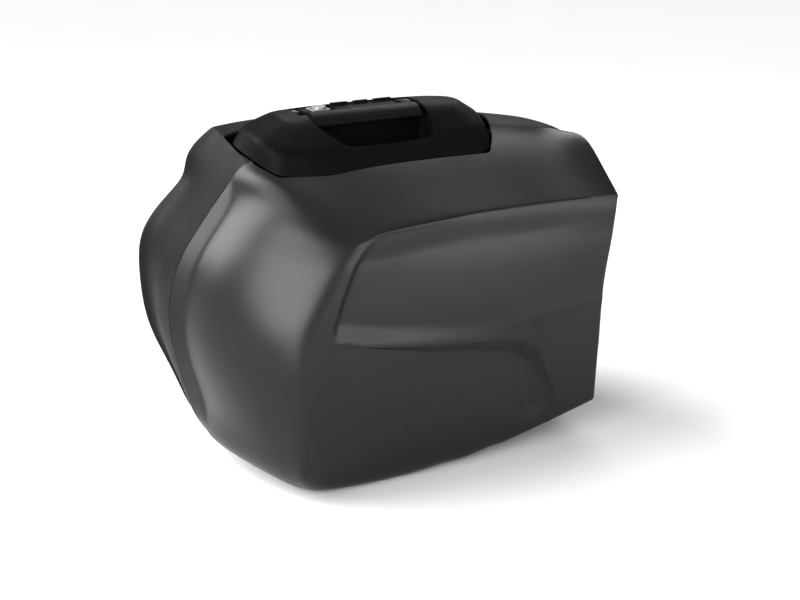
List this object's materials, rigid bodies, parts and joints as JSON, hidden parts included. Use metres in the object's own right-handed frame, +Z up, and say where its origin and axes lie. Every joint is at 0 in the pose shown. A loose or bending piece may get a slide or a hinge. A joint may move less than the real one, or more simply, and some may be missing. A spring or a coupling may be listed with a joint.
{
  "type": "motorcycle saddlebag",
  "caption": "Left-hand hard motorcycle saddlebag: painted clamshell lid on a black inner shell, with top carry handle, lock, latch and carrier fittings.",
  "frame": {"origin": "below the middle of the case, on the surface that its feet stand on", "axes": "+X to the motorcycle's rear, -Y outboard through the painted lid, +Y to the motorcycle, +Z up"},
  "size_m": [0.5089, 0.2744, 0.4078],
  "materials": {
    "paint": "satin",
    "shell_plastic": "satin",
    "grained_plastic": "matte",
    "grip_plastic": "satin",
    "light_plastic": "satin",
    "coated_steel": "satin",
    "zinc_steel": "satin",
    "satin_metal": "satin",
    "rubber": "matte",
    "webbing": "matte"
  },
  "bodies": {
    "case": {"inner_shell": "shell_plastic", "rim_seal": "rubber", "handle_console": "grained_plastic", "finger_tray": "grained_plastic", "console_floor": "shell_plastic", "console_screw_1": "zinc_steel", "console_screw_2": "zinc_steel", "console_screw_3": "zinc_steel", "console_screw_4": "zinc_steel", "lock_housing": "light_plastic", "handle_bracket_front": "coated_steel", "handle_bracket_rear": "coated_steel", "handle_pin_front": "zinc_steel", "handle_pin_rear": "zinc_steel", "lever_bearing_front": "coated_steel", "lever_bearing_rear": "coated_steel", "latch_bearing_front": "shell_plastic", "latch_bearing_rear": "shell_plastic", "hinge_bracket_front": "zinc_steel", "hinge_bracket_rear": "zinc_steel", "hinge_pin_front": "satin_metal", "hinge_pin_rear": "satin_metal", "mount_plate": "coated_steel", "mount_screw_1": "zinc_steel", "mount_screw_2": "zinc_steel", "mount_screw_3": "zinc_steel", "mount_screw_4": "zinc_steel", "pawl_pin": "satin_metal", "mount_hook_front": "coated_steel", "mount_hook_rear": "coated_steel", "bumper_front": "rubber", "bumper_rear": "rubber", "foot_inner_front": "rubber", "foot_inner_rear": "rubber", "strap_clip_case_front": "coated_steel", "strap_clip_case_rear": "coated_steel", "check_strap_front": "webbing", "check_strap_rear": "webbing"},
    "lid": {"lid_shell": "paint", "hinge_leaf_front": "zinc_steel", "hinge_leaf_rear": "zinc_steel", "striker_front": "zinc_steel", "striker_rear": "zinc_steel", "foot_outer_front": "rubber", "foot_outer_rear": "rubber", "strap_clip_lid_front": "coated_steel", "strap_clip_lid_rear": "coated_steel"},
    "carry_handle": {"carry_handle": "grip_plastic"},
    "release_lever": {"release_lever": "grained_plastic", "lever_shaft": "zinc_steel"},
    "latch": {"latch_shaft": "zinc_steel"},
    "lock": {"lock_barrel": "satin_metal"},
    "mount_pawl": {"mount_pawl": "zinc_steel"}
  },
  "joints": [
    {"name": "lid_hinge", "type": "hinge", "parent": "case", "child": "lid", "pos_m": [0, 0.055, 0.0113], "axis": [1, 0, 0], "range_deg": [0, 75], "deforming": ["check_strap_front", "check_strap_rear"]},
    {"name": "handle_pivot", "type": "hinge", "parent": "case", "child": "carry_handle", "pos_m": [-0.0177, 0.038, 0.3963], "axis": [-1, 0, 0], "range_deg": [0, 85]},
    {"name": "lever_pivot", "type": "hinge", "parent": "case", "child": "release_lever", "pos_m": [-0.0062, 0.03, 0.3953], "axis": [1, 0, 0], "range_deg": [0, 30], "stiffness_Nm_per_rad": 0.1, "springref_deg": -17.19},
    {"name": "latch_pivot", "type": "hinge", "parent": "case", "child": "latch", "pos_m": [-0.0127, -0.03, 0.3353], "axis": [1, 0, 0], "range_deg": [0, 24.5]},
    {"name": "lock_turn", "type": "hinge", "parent": "case", "child": "lock", "pos_m": [-0.0622, 0.031, 0.39], "axis": [0, 0, 1], "range_deg": [0, 90]},
    {"name": "pawl_pivot", "type": "hinge", "parent": "case", "child": "mount_pawl", "pos_m": [0.0073, 0.129, 0.2863], "axis": [1, 0, 0], "range_deg": [0, 30]}
  ],
  "couplings": [
    {"joint": "latch_pivot", "follows": "lever_pivot", "ratio": 0.8},
    {"joint": "pawl_pivot", "follows": "handle_pivot", "ratio": 0.35}
  ]
}
